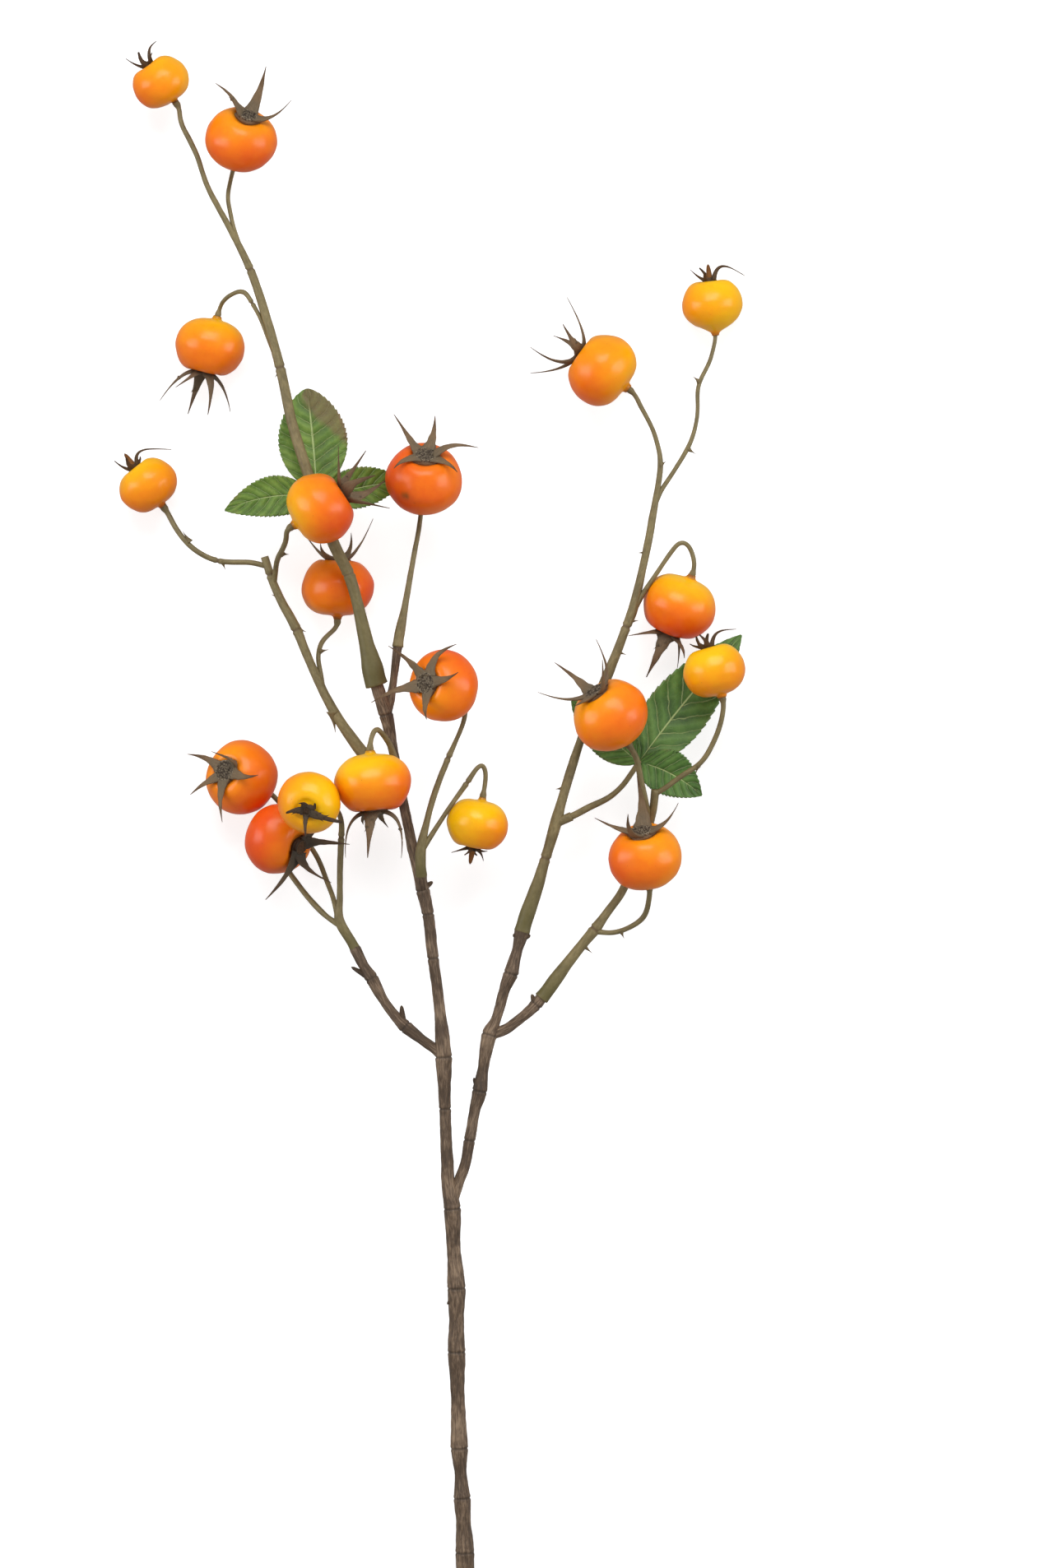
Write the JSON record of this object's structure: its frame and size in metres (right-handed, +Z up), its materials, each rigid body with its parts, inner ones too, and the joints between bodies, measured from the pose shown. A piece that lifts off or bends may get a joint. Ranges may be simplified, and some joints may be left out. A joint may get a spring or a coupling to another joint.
{
  "type": "rose hip sprig",
  "caption": "Branching sprig of a wild rose lying on its back: woody stem, green twigs with thorns, ripe hips with star calyxes, toothed compound leaves.",
  "frame": {"origin": "on the surface that the sprig lies on, under the middle of its bounding box", "axes": "+Y along the sprig from the cut stem end to its tips, +Z up from the surface, +X to the right seen from above with the tips away"},
  "size_m": [0.2312, 0.5698, 0.0624],
  "materials": {
    "ripe_hip": "smooth glossy skin, yellow-orange blushing to red-orange",
    "amber_hip": "smooth glossy skin, amber yellow with an orange blush",
    "dried_calyx": "dry, brown-grey, matt",
    "green_twig": "olive green to brown, satin",
    "leaf": "mid green with paler veins, satin",
    "bark": "grey-brown bark, grooved lengthwise, matt"
  },
  "bodies": {
    "root": {"hip_01": "amber_hip", "hip_02": "ripe_hip", "hip_03": "ripe_hip", "hip_04": "amber_hip", "hip_05": "ripe_hip", "hip_06": "ripe_hip", "hip_07": "ripe_hip", "hip_08": "ripe_hip", "hip_09": "amber_hip", "hip_10": "ripe_hip", "hip_11": "ripe_hip", "hip_12": "amber_hip", "hip_13": "ripe_hip", "hip_14": "ripe_hip", "hip_15": "amber_hip", "hip_16": "ripe_hip", "hip_17": "amber_hip", "hip_18": "ripe_hip", "hip_19": "ripe_hip", "calyx_01": "dried_calyx", "calyx_02": "dried_calyx", "calyx_03": "dried_calyx", "calyx_04": "dried_calyx", "calyx_05": "dried_calyx", "calyx_06": "dried_calyx", "calyx_07": "dried_calyx", "calyx_08": "dried_calyx", "calyx_09": "dried_calyx", "calyx_10": "dried_calyx", "calyx_11": "dried_calyx", "calyx_12": "dried_calyx", "calyx_13": "dried_calyx", "calyx_14": "dried_calyx", "calyx_15": "dried_calyx", "calyx_16": "dried_calyx", "calyx_17": "dried_calyx", "calyx_18": "dried_calyx", "calyx_19": "dried_calyx", "leaf_1": "leaf", "leaf_2": "leaf", "twig_a": "green_twig", "twig_b": "green_twig", "twig_c": "green_twig", "twig_d": "green_twig", "twig_e": "green_twig", "twig_f": "green_twig", "twig_g": "green_twig", "twig_h": "green_twig", "woody_stem": "bark"}
  },
  "joints": []
}
